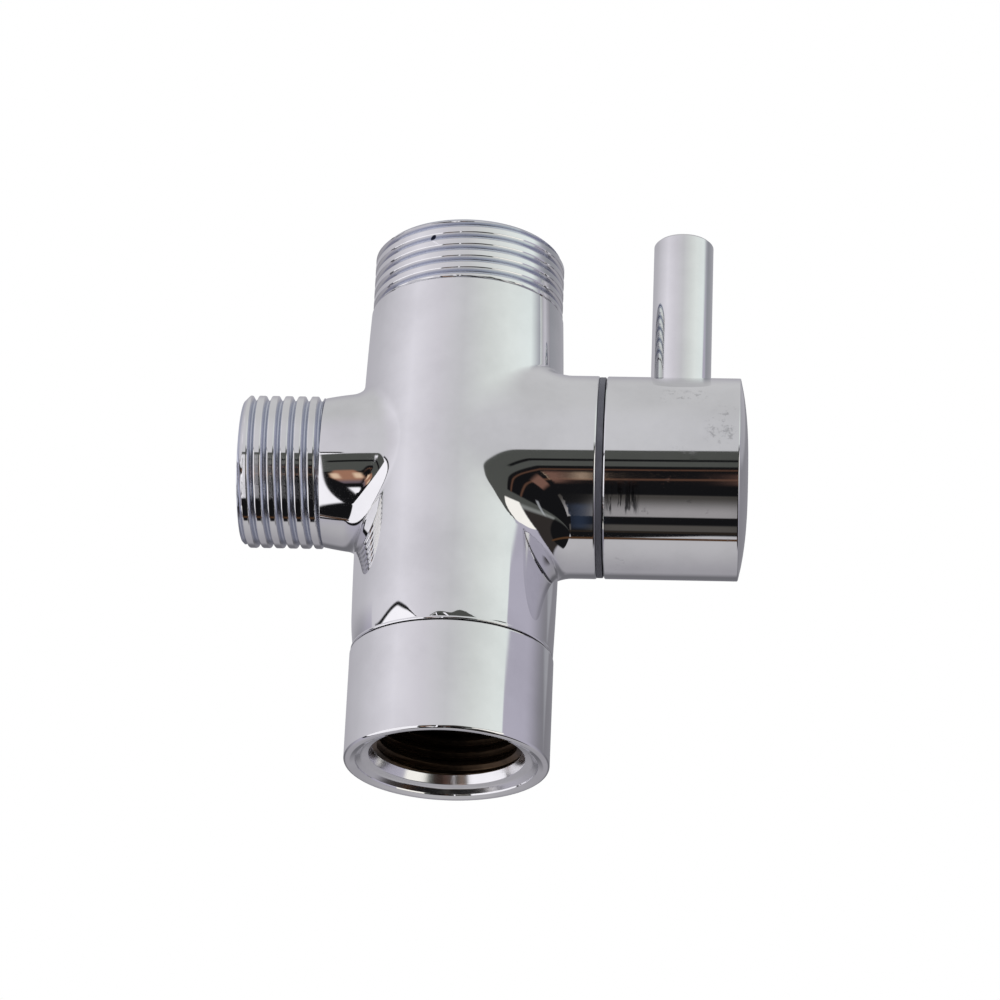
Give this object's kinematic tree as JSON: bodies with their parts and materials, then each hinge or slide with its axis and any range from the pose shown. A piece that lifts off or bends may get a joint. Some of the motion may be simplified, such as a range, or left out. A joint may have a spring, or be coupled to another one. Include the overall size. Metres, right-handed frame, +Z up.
{
  "type": "shower diverter valve",
  "caption": "Chromed brass cross-shaped valve with a swivel inlet collar, threaded top and side outlets, and a lever knob that switches the water between them.",
  "frame": {"origin": "on the bore line of the swivel inlet, at the lower end of its female thread", "axes": "+Z up the barrel through the top outlet, +X out of the lever port, -X out of the hose outlet; the lever stick stands along +Z at rest"},
  "size_m": [0.0691, 0.028, 0.0785],
  "materials": {
    "chrome_plate": "polished",
    "raw_brass": "turned",
    "spring_steel": "drawn",
    "seal_rubber": "moulded",
    "seat_plastic": "matte",
    "spacer_plastic": "satin"
  },
  "bodies": {
    "valve": {"valve_body": "chrome_plate", "collar_snap_ring": "spring_steel", "collar_o_ring": "seal_rubber", "inlet_seat_ring": "seat_plastic", "inlet_seat_o_ring": "seal_rubber", "outlet_seat_ring": "seat_plastic", "outlet_seat_o_ring": "seal_rubber", "stop_pin": "spring_steel", "thrust_washer": "seat_plastic", "bonnet_nut": "raw_brass", "bonnet_o_ring": "seal_rubber", "spacer_ring": "spacer_plastic"},
    "lever": {"diverter_spool": "raw_brass", "spindle_o_ring_inner": "seal_rubber", "spindle_o_ring_outer": "seal_rubber", "knob": "chrome_plate", "lever_stick": "chrome_plate"},
    "collar": {"swivel_collar": "chrome_plate", "inlet_washer": "seal_rubber"}
  },
  "joints": [
    {"name": "lever_turn", "type": "hinge", "parent": "valve", "child": "lever", "pos_m": [0, 0, 0.03897], "axis": [1, 0, 0], "range_deg": [0, 90]},
    {"name": "collar_swivel", "type": "hinge", "parent": "valve", "child": "collar", "pos_m": [0, 0, 0], "axis": [0, 0, 1], "continuous": true}
  ]
}
